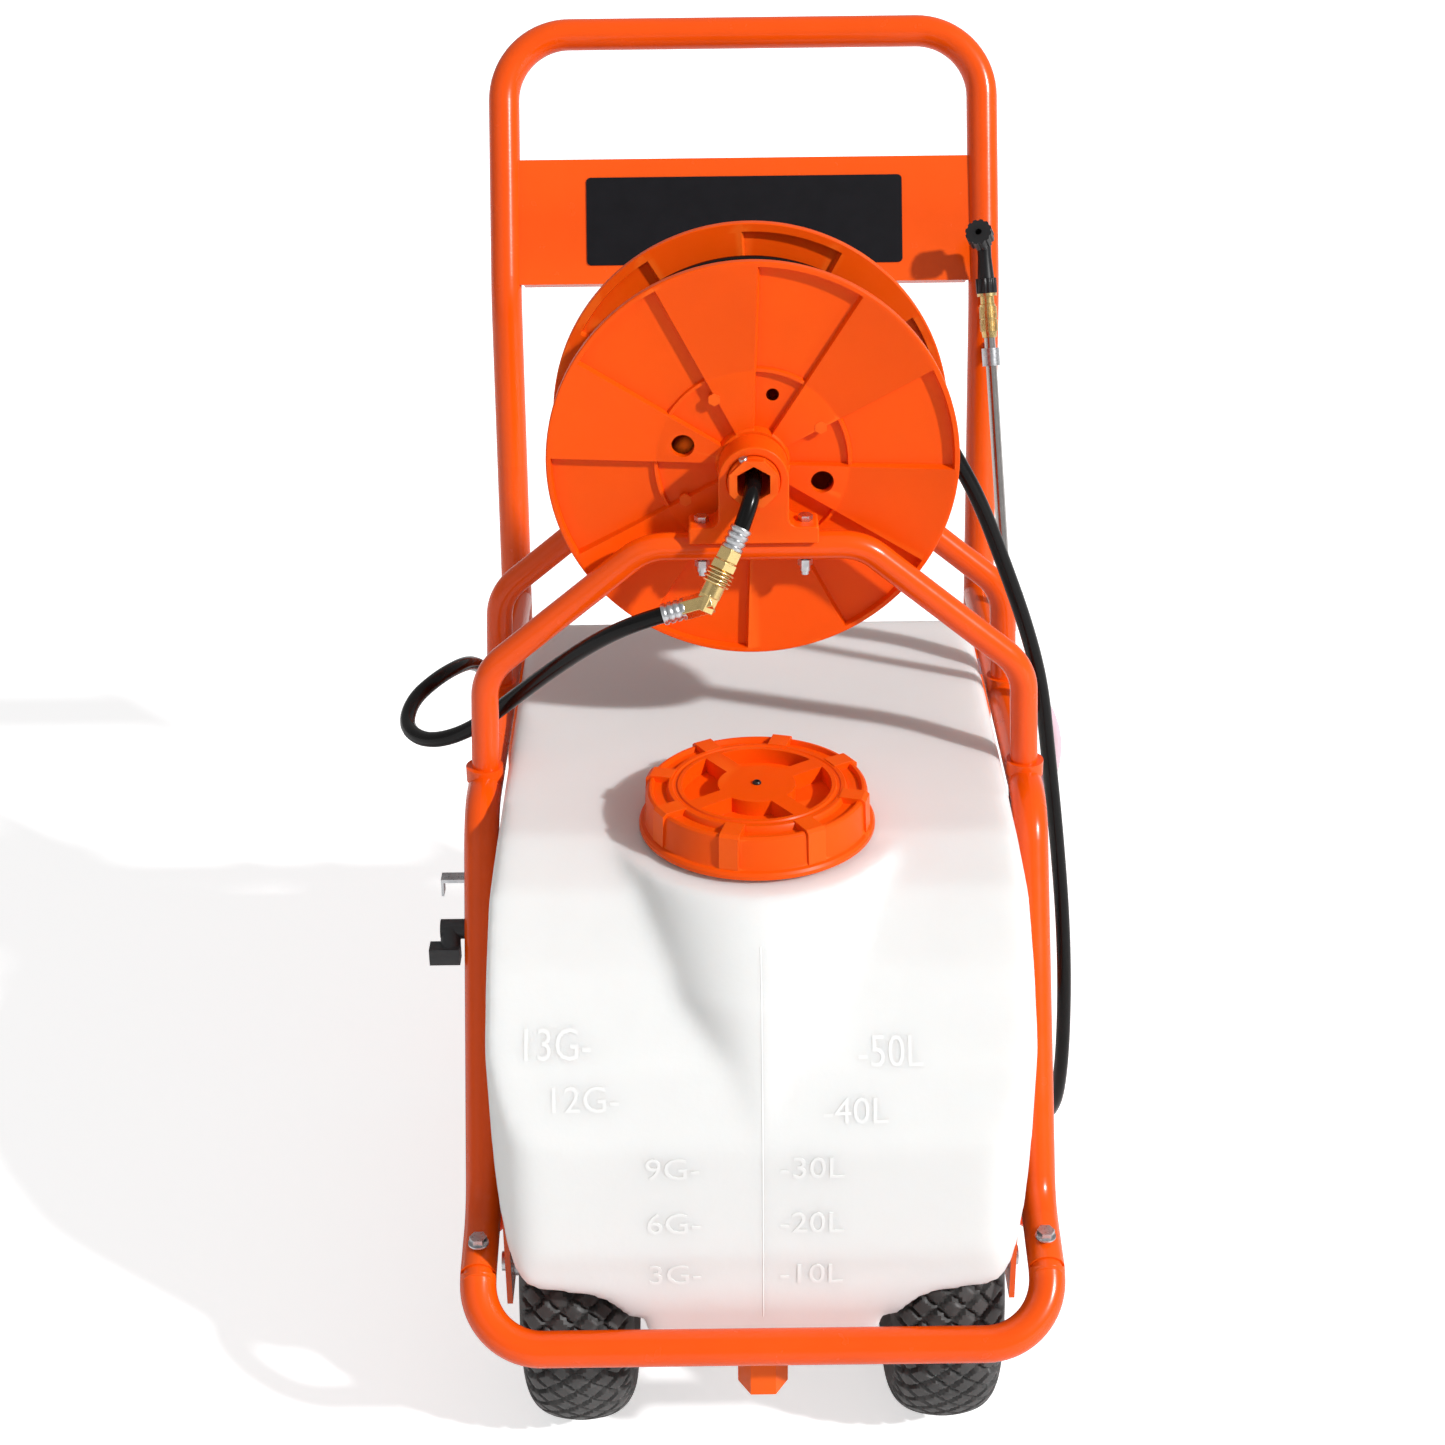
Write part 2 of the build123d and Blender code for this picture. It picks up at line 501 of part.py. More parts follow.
def make_controls(leg_bar):
    tray = block((-204, 204), (598, 702), (TRAY_Z, TRAY_Z + 3)) - leg_bar - mirror_x(leg_bar)
    tray += block((-204, 204), (700, 702), (TRAY_Z, TRAY_Z + 18))
    PARTS["battery_tray"] = tray
    z = TRAY_Z + 3
    box = block((-28, 170), (602, 698), (z, z + 118)) - block((-25, 167), (605, 695), (z + 3, z + 130))
    PARTS["battery"] = block((-5, 146), (617, 682), (z + 3, z + 97))
    lid = block((-30, 172), (600.4, 700), (z + 118 + GAP, z + 124)) + block((-22, 164), (608, 692), (z + 124, z + 128))
    PARTS["battery_lid"] = lid + block((-30, 172), (700, 702), (z + 108, z + 124))
    for x in (0, 120):
        box += rod(at(x, 596, z + 114), at(x + 20, 596, z + 114), 4) + block((x, x + 20), (596, 602), (z + 104, z + 114))
    PARTS["battery_box"] = box

    low, high = 394.0, 458.0
    back = leg_back((low + high) / 2)
    plate = block((-206, 206), (back - 1, back + 1), (low, high)) - leg_bar - mirror_x(leg_bar)
    spots = {"gauge": (-70, 428), "regulator": (20, 428), "switch": (96, 428)}
    plate -= along(at(spots["gauge"][0], back - 5, spots["gauge"][1]), REARWARD, 10, 7)
    plate -= along(at(spots["regulator"][0], back - 5, spots["regulator"][1]), REARWARD, 10, 9)
    plate -= block((86, 106), (back - 5, back + 5), (413, 443))
    PARTS["control_panel"] = plate

    gx, gz = spots["gauge"]
    face = back + 1
    gauge = along(at(gx, face, gz), REARWARD, 20, 21) - along(at(gx, face + 12, gz), REARWARD, 9, 19)
    gauge += along(at(gx, face + 12, gz), REARWARD, 5.5, 1.5)
    PARTS["pressure_gauge"] = gauge + along(at(gx, face - 26, gz), REARWARD, 26, 6.8)
    needle = block((gx - 1, gx + 1), (face + 14, face + 15.2), (gz - 5, gz + 15)) + along(
        at(gx, face + 14, gz), REARWARD, 1.2, 3.5)
    PARTS["gauge_needle"] = needle - along(at(gx, face + 13, gz), REARWARD, 5, 1.5 + RUNNING)

    rx, rz = spots["regulator"]
    body = block((rx - 14, rx + 105), (back - 59, back - 31), (rz - 7, rz + 21))
    body += along(at(rx, back - 31, rz), REARWARD, 35.6, 8.8)
    PARTS["regulator_body"] = body + along(at(rx + 105, 629.5, 435), RIGHT, 21, 6)
    knob = along(at(rx, back + 5, rz), REARWARD, 20, 15)
    for k in range(10):
        angle = radians(36 * k)
        knob -= along(at(rx + 16.5 * cos(angle), back + 4, rz + 16.5 * sin(angle)), REARWARD, 22, 3)
    PARTS["regulator_knob"] = knob

    PARTS["switch_body"] = block((86.2, 105.8), (back - 16, back + 4), (413.2, 442.8)) - block(
        (89, 103), (back - 9, back + 5), (415.6, 440.4))
    pivot = at(96, back + 1, 428)
    rocker = Plane.YZ * Polygon(*[(pivot.Y + a, pivot.Z + b) for a, b in ((-5, -9), (5.5, -11), (3, 0), (3, 11),
                                                                         (-5, 9))], align=None)
    PARTS["power_switch"] = Pos(89.8, 0, 0) * extrude(rocker, 12.4, dir=RIGHT)


def make_wand():
    """The spray wand: nozzle, brass coupler, steel tube and trigger gun, in two clips on the right side."""
    high, low = at(221, 697, 740), at(244.8, 583, 400)
    run = (high - low).normalized()
    top = high + run * 2
    PARTS["wand_tube"] = rod(low, top, 5, 3.6)
    PARTS["wand_coupler"] = along(top, run, 12, 8) + hexagon(top + run * 12, run, 12, 15) \
        + along(top + run * 24, run, 10, 7)
    neck = top + run * 34
    bend = neck + run * 44
    nozzle_axis = Vector(-0.28, -0.72, 0.64).normalized()
    PARTS["nozzle_elbow"] = hexagon(neck, run, 14, 17) + cone(neck + run * 14, bend, 7.5, 6) + Pos(*bend) * Sphere(6.5) \
        + along(bend, nozzle_axis, 12, 6.5)
    tip = bend + nozzle_axis * 12.3
    cap = along(tip, nozzle_axis, 14, 12)
    side = Plane(origin=tip, z_dir=nozzle_axis)
    for k in range(12):
        spot = side.from_local_coords(Vector(12.6 * cos(radians(30 * k)), 12.6 * sin(radians(30 * k)), 0))
        cap -= along(spot, nozzle_axis, 14, 1.8)
    PARTS["nozzle_cap"] = cap - along(tip + nozzle_axis * 6, nozzle_axis, 9, 3)

    body = along(low, -run, 78, 9)
    grip_start = low - run * 62
    grip_end = at(251, 575, 215)
    gun = body + rod(grip_start, grip_end, 8.5)
    pivot = low - run * 30 + Vector(0, -16.5, 0)
    ears = [Pos(*(pivot + RIGHT * s + REARWARD * 3)) * Box(2.4, 14, 9) for s in (6.2, -6.2)]
    inlet = at(*TAIL_ROUTE[-1]) - grip_end
    pin = along(pivot - RIGHT * 9, RIGHT, 18, 2)
    PARTS["spray_gun"] = gun + ears + pin + hexagon(grip_end, inlet, inlet.length, 16)
    lever_plane = Plane(origin=pivot - RIGHT * 4, x_dir=(0, -run.Y, -run.Z), z_dir=RIGHT)
    outline = [(-5, -4), (-5, 3), (6, 3), (30, -2), (66, -10), (70, -15), (64, -16), (28, -9)]
    lever = extrude(lever_plane * Polygon(*outline, align=None), 8, dir=RIGHT)
    PARTS["gun_trigger"] = lever - along(pivot - RIGHT * 12, RIGHT, 24, 2 + RUNNING)
    return high, low, run


def make_clips(high, low, run, handle_bar, rail_bar):
    """Two spring clips that hold the wand, one on the handle and one on the side rail."""
    clips = []
    for z in (720.0, RAIL_Z):
        spot = low + run * ((z - low.Z) / run.Z)
        ring = rod(spot - run * 8, spot + run * 8, 8, 5)
        root = Vector(RAIL_X, spot.Y + (26 if z > 600 else 0), spot.Z)
        web = Plane(origin=spot, x_dir=(root - spot).cross(run), z_dir=(root - spot))
        stem = extrude(web * Rectangle(3, 14), (root - spot).length)
        clips.append(ring + stem - rod(spot - run * 30, spot + run * 30, 5) - handle_bar - rail_bar)
    return clips


def make_hook(rail_bar):
    """A coated hose hook on the left slanted rail and a plated clip plate above it."""
    stem = rod(at(228, 221, 405), at(252, 221, 405), 8) - rail_bar
    horn = rod(at(244, 221, 405), at(244, 208, 392), 8) + block((236, 260.2), (200, 214), (384, 398))
    PARTS["hose_hook"] = mirror_x(stem + horn)
    plate = block((-252, -231.5), (240, 252), (436, 439)) + block((-252, -250), (240, 252), (424, 436))
    return plate - mirror_x(rail_bar)


def make_all():
    rail_bar, leg_bar, handle_bar, frame_bolts = make_frame()
    make_panel(handle_bar)
    blocks, bolts = [], [frame_bolts]
    for name, back in (("front", STAND_BACK), ("rear", REAR_STAND_BACK)):
        bearing, fasteners = make_bearing(back, make_stand(name, back, rail_bar))
        blocks.append(bearing)
        bolts += fasteners
    PARTS["bearing_blocks"] = group(*blocks)
    PARTS["bolts"] = group(*bolts)
    tank_elbow = make_tank()
    make_lid()
    make_wheels()
    make_reel()
    make_swivel()
    make_hoses()
    make_pump(tank_elbow)
    make_controls(leg_bar)
    clips = make_clips(*make_wand(), handle_bar, rail_bar)
    PARTS["plated_clips"] = group(*clips, make_hook(rail_bar))


make_all()
os.makedirs("parts", exist_ok=True)
for name, shape in PARTS.items():
    export_step(shape, f"parts/{name}.step")
print(len(PARTS), "nodes")
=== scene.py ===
"""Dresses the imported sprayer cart: blown tank, moulded reel and lid, hoses, tread, fittings, finishes.

Places are written in millimetres as (x, back, z), where back is the distance behind the bumper's
centreline. at() turns them into metres in the row frame.
"""

from math import atan2, copysign, cos, pi, radians, sin

import bmesh
import bpy
from mathutils import Matrix, Vector
from mathutils.bvhtree import BVHTree


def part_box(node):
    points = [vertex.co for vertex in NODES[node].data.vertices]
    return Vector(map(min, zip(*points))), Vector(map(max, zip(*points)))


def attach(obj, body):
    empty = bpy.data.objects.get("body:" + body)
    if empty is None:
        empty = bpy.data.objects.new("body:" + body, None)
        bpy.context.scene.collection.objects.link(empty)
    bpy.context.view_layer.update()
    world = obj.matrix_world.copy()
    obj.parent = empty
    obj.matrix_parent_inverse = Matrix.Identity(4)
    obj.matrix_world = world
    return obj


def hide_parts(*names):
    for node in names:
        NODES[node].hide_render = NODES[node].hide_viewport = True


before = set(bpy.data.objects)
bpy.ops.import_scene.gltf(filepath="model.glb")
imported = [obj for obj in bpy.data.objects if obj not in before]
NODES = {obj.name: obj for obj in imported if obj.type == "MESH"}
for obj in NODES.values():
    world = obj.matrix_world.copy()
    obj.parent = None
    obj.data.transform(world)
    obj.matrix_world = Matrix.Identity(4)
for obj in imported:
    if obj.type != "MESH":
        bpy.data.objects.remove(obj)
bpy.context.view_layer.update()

MM = 0.001
BUMPER_TO_ORIGIN = 419.0
RIGHT, REARWARD, UP = Vector((1, 0, 0)), Vector((0, 1, 0)), Vector((0, 0, 1))
WHEEL_X, WHEEL_BACK, WHEEL_R = 146, 154, 127
REEL_Z = 756.0


def at(x, back, z):
    """The row frame's point, in metres, of a place in the millimetres written here."""
    return Vector((x, back - BUMPER_TO_ORIGIN, z)) * MM


# --- materials -----------------------------------------------------------------------------


def material(name, colour, rough, mottle=0.05, mottle_scale=14, grain=700, bump=0.02, edge_wear_and_highlight=0.0, worn_and_highlit_tone=None,
             **sockets):
    """A moulded or coated surface: slow colour drift, fine grain, uneven gloss and paler edges, which are
    wear on most finishes and a painted highlight on the orange plastic.
    """
    mat = bpy.data.materials.new(name)
    mat.use_nodes = True
    tree = mat.node_tree
    shader = tree.nodes["Principled BSDF"]
    for socket, value in sockets.items():
        shader.inputs[socket.replace("_", " ")].default_value = value
    new, link = tree.nodes.new, tree.links.new
    place = new("ShaderNodeTexCoord").outputs["Object"]

    def noise(scale, detail=3):
        node = new("ShaderNodeTexNoise")
        node.inputs["Scale"].default_value = scale
        node.inputs["Detail"].default_value = detail
        link(place, node.inputs["Vector"])
        return node.outputs["Fac"]

    def mixed(fac, a, b):
        node = new("ShaderNodeMix")
        node.data_type = "RGBA"
        for index, value in ((6, a), (7, b)):
            if isinstance(value, tuple):
                node.inputs[index].default_value = (*value, 1)
            else:
                link(value, node.inputs[index])
        link(fac, node.inputs[0])
        return node.outputs[2]

    def ranged(value, low, high, to_low, to_high):
        node = new("ShaderNodeMapRange")
        for socket, number in zip(("From Min", "From Max", "To Min", "To Max"), (low, high, to_low, to_high)):
            node.inputs[socket].default_value = number
        link(value, node.inputs["Value"])
        return node.outputs["Result"]

    dark = tuple(c * (1 - mottle) for c in colour)
    light = tuple(min(1.0, c * (1 + mottle)) for c in colour)
    tone = mixed(ranged(noise(mottle_scale, 5), 0.35, 0.65, 0, 1), dark, light)
    # Convex edges, found by pointiness, are painted paler. On most finishes this is wear; on the orange
    # plastic it is a painted highlight.
    if edge_wear_and_highlight:
        worn_and_highlit_edge = ranged(new("ShaderNodeNewGeometry").outputs["Pointiness"], 0.52, 0.6, 0, edge_wear_and_highlight)
        tone = mixed(worn_and_highlit_edge, tone, worn_and_highlit_tone or tuple(min(1.0, c * 1.25 + 0.03) for c in colour))
    link(tone, shader.inputs["Base Color"])
    link(ranged(noise(mottle_scale * 4), 0.3, 0.7, rough * 0.85, rough * 1.15), shader.inputs["Roughness"])
    relief = new("ShaderNodeBump")
    relief.inputs["Strength"].default_value = 1.0
    relief.inputs["Distance"].default_value = bump * MM
    link(noise(grain, 2), relief.inputs["Height"])
    link(relief.outputs["Normal"], shader.inputs["Normal"])
    return mat


PAINT = material("powder_coat", (0.85, 0.082, 0.001), 0.24, 0.03, grain=420, bump=0.03, edge_wear_and_highlight=0.2,
                 worn_and_highlit_tone=(0.95, 0.15, 0.01), Coat_Weight=0.18, Coat_Roughness=0.1,
                 Specular_IOR_Level=0.28)
# The orange plastic's paler, yellower edge colour is a painted highlight along its edges.
PLASTIC = material("moulded_orange", (0.86, 0.084, 0.001), 0.38, 0.03, grain=1100, bump=0.02, edge_wear_and_highlight=0.3,
                   worn_and_highlit_tone=(0.97, 0.2, 0.02), Specular_IOR_Level=0.15, Subsurface_Weight=0.1,
                   Subsurface_Radius=(0.004, 0.0008, 0.0002), Subsurface_Scale=1.0)
HDPE = material("blown_tank", (0.79, 0.79, 0.78), 0.42, 0.012, 7, grain=160, bump=0.12,
                Subsurface_Weight=0.6, Subsurface_Radius=(0.032, 0.028, 0.026), Subsurface_Scale=1.0)
RELIEF = material("tank_relief", (0.82, 0.82, 0.81), 0.42, 0.012, 7, grain=160, bump=0.12)
TYRE = material("tyre_rubber", (0.044, 0.043, 0.042), 0.5, 0.25, 30, grain=900, bump=0.05, edge_wear_and_highlight=0.5,
                worn_and_highlit_tone=(0.07, 0.068, 0.065))
HOSE = material("hose_rubber", (0.005, 0.0045, 0.0045), 0.2, 0.15, grain=1500, bump=0.015,
                Specular_IOR_Level=0.2)
CLEAR = material("clear_tube", (0.82, 0.60, 0.68), 0.18, 0.02, grain=800, bump=0.01, Transmission_Weight=0.2,
                 IOR=1.45)
BLACK = material("black_plastic", (0.007, 0.007, 0.008), 0.33, 0.12, grain=1300, bump=0.03, edge_wear_and_highlight=0.3,
                 Specular_IOR_Level=0.4)
MATTE = material("matte_plate", (0.007, 0.007, 0.009), 0.55, 0.1, 60, grain=1800, bump=0.04,
                 Specular_IOR_Level=0.12)
CASE = material("battery_case", (0.03, 0.032, 0.035), 0.5, 0.15, 40, grain=2200, bump=0.09, edge_wear_and_highlight=0.3)
ZINC = material("zinc_plate", (0.63, 0.64, 0.66), 0.3, 0.12, 120, grain=600, bump=0.02, Metallic=1.0)
BRASS = material("brass", (0.78, 0.56, 0.22), 0.26, 0.1, 90, grain=900, bump=0.02, edge_wear_and_highlight=0.4,
                 worn_and_highlit_tone=(0.95, 0.78, 0.45), Metallic=1.0)
STEEL = material("polished_tube", (0.60, 0.57, 0.55), 0.16, 0.05, 60, grain=500, bump=0.006, Metallic=1.0)
DIAL = material("dial_face", (0.82, 0.82, 0.80), 0.35, 0.02, grain=1500, bump=0.01)
RIM = material("rim_paint", (0.55, 0.56, 0.57), 0.35, 0.06, grain=500, bump=0.03, edge_wear_and_highlight=0.3)

FINISH = {
    PAINT: "front_bumper side_rail_left side_rail_right lower_rails rear_legs handle_loop cross_bars "
           "axle_brackets handle_panel front_reel_stand rear_reel_stand battery_tray control_panel",
    PLASTIC: "drain_cap reel_drum reel_tie_bolts",
    RELIEF: "strainer_basket",
    BLACK: "feet lid_gasket crank_knob nozzle_elbow nozzle_cap gun_trigger spray_gun switch_body "
           "power_switch regulator_knob pump_head pressure_gauge gauge_needle",
    MATTE: "panel_label",
    CASE: "battery_box battery_lid battery hose_hook",
    ZINC: "axle bolts plated_clips crank_arm pump_motor",
    BRASS: "wand_coupler hose_barbs regulator_body",
    STEEL: "wand_tube",
    RIM: "rim_left rim_right",
}
for finish, names in FINISH.items():
    for node in names.split():
        NODES[node].data.materials.clear()
        NODES[node].data.materials.append(finish)


# --- mesh tools ----------------------------------------------------------------------------


def basis(origin, axis, across=RIGHT):
    """A matrix whose local Z is the axis and whose local X is near across."""
    z = axis.normalized()
    x = (across - z * across.dot(z)).normalized()
    y = z.cross(x)
    return Matrix.Translation(origin) @ Matrix((x, y, z)).transposed().to_4x4()


def lathe(bm, profile, matrix, steps=72):
    """Adds a closed turned ring. The profile is (radius, height) in millimetres."""
    rings = []
    for k in range(steps):
        a = 2 * pi * k / steps
        rings.append([bm.verts.new(matrix @ (Vector((r * cos(a), r * sin(a), h)) * MM)) for r, h in profile])
    count = len(profile)
    for k in range(steps):
        a, b = rings[k], rings[(k + 1) % steps]
        for i in range(count):
            j = (i + 1) % count
            bm.faces.new((a[i], a[j], b[j], b[i]))


def spindle(bm, profile, matrix, steps=48):
    """Adds a turned solid whose ends are closed on its axis."""
    rings = []
    for r, h in profile:
        turns = [2 * pi * k / steps for k in range(steps)]
        rings.append([bm.verts.new(matrix @ (Vector((r * cos(a), r * sin(a), h)) * MM)) for a in turns])
    for a, b in zip(rings, rings[1:]):
        for k in range(steps):
            j = (k + 1) % steps
            bm.faces.new((a[k], a[j], b[j], b[k]))
    bm.faces.new(rings[0])
    bm.faces.new(rings[-1])


def prism(bm, outline, low, high, matrix):
    """Adds a flat outline of local millimetres, extruded between two heights."""
    bottom = [bm.verts.new(matrix @ (Vector((x, y, low)) * MM)) for x, y in outline]
    top = [bm.verts.new(matrix @ (Vector((x, y, high)) * MM)) for x, y in outline]
    bm.faces.new(bottom)
    bm.faces.new(top)
    for k in range(len(outline)):
        j = (k + 1) % len(outline)
        bm.faces.new((bottom[k], bottom[j], top[j], top[k]))


def regular(sides, across):
    """A regular polygon's outline, by its width across the flats."""
    r = across / 2 / cos(pi / sides)
    return [(r * cos(2 * pi * (k + 0.5) / sides), r * sin(2 * pi * (k + 0.5) / sides)) for k in range(sides)]


def arc(cx, cy, r, start, end, steps):
    """Points along an arc between two angles in degrees."""
    turns = [radians(start + (end - start) * k / steps) for k in range(steps + 1)]
    return [(cx + r * cos(turn), cy + r * sin(turn)) for turn in turns]


def loose(name, bm):
    """The mesh object of a bmesh, before it rides on anything."""
    bmesh.ops.recalc_face_normals(bm, faces=bm.faces)
    mesh = bpy.data.meshes.new(name)
    bm.to_mesh(mesh)
    bm.free()
    obj = bpy.data.objects.new(name, mesh)
    bpy.context.scene.collection.objects.link(obj)
    return obj


def applied(obj):
    """Makes the object's modifiers permanent."""
    bpy.context.view_layer.update()
    solid = bpy.data.meshes.new_from_object(obj.evaluated_get(bpy.context.evaluated_depsgraph_get()))
    obj.modifiers.clear()
    obj.data = solid


def combine(obj, bm, operation):
    """A boolean with a tool that is used up."""
    tool = loose("tool", bm)
    cut = obj.modifiers.new("cut", "BOOLEAN")
    cut.operation, cut.object, cut.solver = operation, tool, "EXACT"
    applied(obj)
    bpy.data.objects.remove(tool)


def soften(obj, width, segments=2, angle=32):
    """Rounds the edges that are sharper than the angle, by a width in millimetres."""
    bevel = obj.modifiers.new("soft_edges", "BEVEL")
    bevel.width, bevel.segments, bevel.angle_limit = width * MM, segments, radians(angle)
    bevel.limit_method, bevel.harden_normals = "ANGLE", False


def piece(obj, finish, body="root", nodes=(), crease=38):
    """Finishes a piece, puts it on its body and lets it stand for CAD nodes."""
    obj.data.materials.clear()
    obj.data.materials.append(finish)
    if obj.type == "MESH":
        obj.data.shade_smooth()
        obj.data.set_sharp_from_angle(angle=radians(crease))
    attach(obj, body)
    if nodes:
        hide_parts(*nodes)


def tube(name, points, r, finish, body="root", nodes=()):
    """A round hose or wire whose centreline is a quadratic NURBS led by its route's points."""
    curve = bpy.data.curves.new(name, "CURVE")
    curve.dimensions = "3D"
    curve.bevel_depth, curve.bevel_resolution, curve.use_fill_caps = r * MM, 6, True
    spline = curve.splines.new("NURBS")
    spline.points.add(len(points) - 1)
    for point, place in zip(spline.points, points):
        point.co = (*place, 1)
    spline.order_u, spline.use_endpoint_u, spline.resolution_u = 3, True, 8
    obj = bpy.data.objects.new(name, curve)
    bpy.context.scene.collection.objects.link(obj)
    obj.data.materials.append(finish)
    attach(obj, body)
    if nodes:
        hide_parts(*nodes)
    return obj


# --- tank ----------------------------------------------------------------------------------

NECK = (0, 205)
ARCH_R = 139
VOXEL, MELTING = 4.5, 14
LETTER_SIZE, LETTER_MIDDLE, LETTER_PROUD, LETTER_SUNK = 27, 9, 0.4, 1.5


def make_tank():
    """The blown tank, with wheel arches cut out, a dome up to the neck and edges melted round.

    It returns a search tree of its skin, which the raised marks are laid on.
    """
    sideways = basis(at(0, BUMPER_TO_ORIGIN, 0), RIGHT, REARWARD)
    bm = bmesh.new()
    side = [(22, 157), (22, 222), (18, 240), (18, 335), (38, 393), (82, 449), (134, 489), (190, 507),
            (560, 518), (576, 506), (576, 166), (122, 166), (112, 157)]
    prism(bm, [(b - BUMPER_TO_ORIGIN, z) for b, z in side], -206, 206, sideways)
    tank = loose("tank_body", bm)

    bm = bmesh.new()
    right = [(0, 156), (88, 156), (102, 171), (118, 188), (138, 197), (166, 199), (181, 205), (190, 220),
             (195, 240), (198.5, 265), (202, 300), (204.5, 400), (203.5, 480), (199, 508), (186, 524)]
    outline = right + [(-x, z) for x, z in reversed(right[1:])]
    prism(bm, outline, -400, 400, basis(Vector(), -REARWARD, RIGHT))
    combine(tank, bm, "INTERSECT")

    bm = bmesh.new()
    low, high, half, r = 18 - BUMPER_TO_ORIGIN, 576 - BUMPER_TO_ORIGIN, 205, 40
    plan = arc(half - r, high - r, r, 0, 90, 8) + arc(r - half, high - r, r, 90, 180, 8)
    plan += arc(r - half, low + r, r, 180, 270, 8) + arc(half - r, low + r, r, 270, 360, 8)
    prism(bm, plan, 100, 600, Matrix())
    combine(tank, bm, "INTERSECT")

    for s in (1, -1):
        bm = bmesh.new()
        spindle(bm, [(ARCH_R, 90), (ARCH_R, 260)], basis(at(0, WHEEL_BACK, WHEEL_R), RIGHT * s, REARWARD), 64)
        combine(tank, bm, "DIFFERENCE")

    hump = [(24, 338, 5), (122, 440, 78), (NECK[1], 504, 110)]
    for span in zip(hump, hump[1:]):
        bm = bmesh.new()
        for b, z, r in span:
            for k in range(48):
                bm.verts.new(at(r * cos(k * pi / 24), b + r * sin(k * pi / 24), z))
        bmesh.ops.convex_hull(bm, input=bm.verts)
        combine(tank, bm, "UNION")
    bm = bmesh.new()
    spindle(bm, [(70, 466), (70, 560)], basis(at(*NECK, 0), UP), 64)
    combine(tank, bm, "DIFFERENCE")

    remesh = tank.modifiers.new("skin", "REMESH")
    remesh.mode, remesh.voxel_size, remesh.use_smooth_shade = "VOXEL", VOXEL * MM, True
    smooth = tank.modifiers.new("melt", "SMOOTH")
    smooth.factor, smooth.iterations = 0.5, MELTING
    applied(tank)
    piece(tank, HDPE, nodes=["tank"], crease=180)
    tree = BVHTree.FromObject(tank, bpy.context.evaluated_depsgraph_get())

    bm = bmesh.new()
    lathe(bm, [(72, 462), (76, 462), (76, 520), (72, 520)], basis(at(*NECK, 0), UP), 96)
    for z in (484, 491, 498, 505):
        lathe(bm, [(75.5, z - 1.4), (77.6, z), (75.5, z + 1.4)], basis(at(*NECK, 0), UP), 96)
    piece(loose("tank_neck", bm), RELIEF)
    bm = bmesh.new()
    lathe(bm, [(8, 112), (13, 112), (13, 172), (8, 172)], basis(at(0, 42, 0), UP), 40)
    piece(loose("tank_spout", bm), RELIEF)
    return tree


def on_front(tree, x, z, proud):
    """The point of the tank's front at x and height z, moved out by proud millimetres."""
    hit, normal, _, _ = tree.ray_cast(at(x, -100, z), REARWARD)
    return hit + normal.normalized() * proud * MM


def make_marks(tree):
    """Raised level marks and the mould seam down the tank's front."""
    right = [(12, 217, "-10L"), (12, 267, "-20L"), (12, 317, "-30L"), (44, 362, "-40L"), (70, 402, "-50L")]
    left = [(-88, 217, "3G-"), (-88, 267, "6G-"), (-88, 317, "9G-"), (-160, 372, "12G-"),
            (-180, 408, "13G-")]
    for number, (x, z, words) in enumerate(right + left):
        text = bpy.data.curves.new("words", "FONT")
        text.body, text.size = words, LETTER_SIZE * MM
        text.extrude, text.resolution_u = 0.001, 3
        holder = bpy.data.objects.new("words", text)
        bpy.context.scene.collection.objects.link(holder)
        bpy.context.view_layer.update()
        mesh = bpy.data.meshes.new_from_object(holder.evaluated_get(bpy.context.evaluated_depsgraph_get()))
        bpy.data.objects.remove(holder)
        for vertex in mesh.vertices:
            spot = vertex.co.copy()
            proud = LETTER_PROUD if spot.z > 0 else -LETTER_SUNK
            vertex.co = on_front(tree, x + spot.x / MM, z + spot.y / MM - LETTER_MIDDLE, proud)
        mark = bpy.data.objects.new(f"level_mark_{number}", mesh)
        bpy.context.scene.collection.objects.link(mark)
        piece(mark, RELIEF)
    line = [on_front(tree, 0, z, -0.5) for z in range(176, 480, 4)]
    tube("mould_seam", line, 0.8, RELIEF)


# --- lid -----------------------------------------------------------------------------------


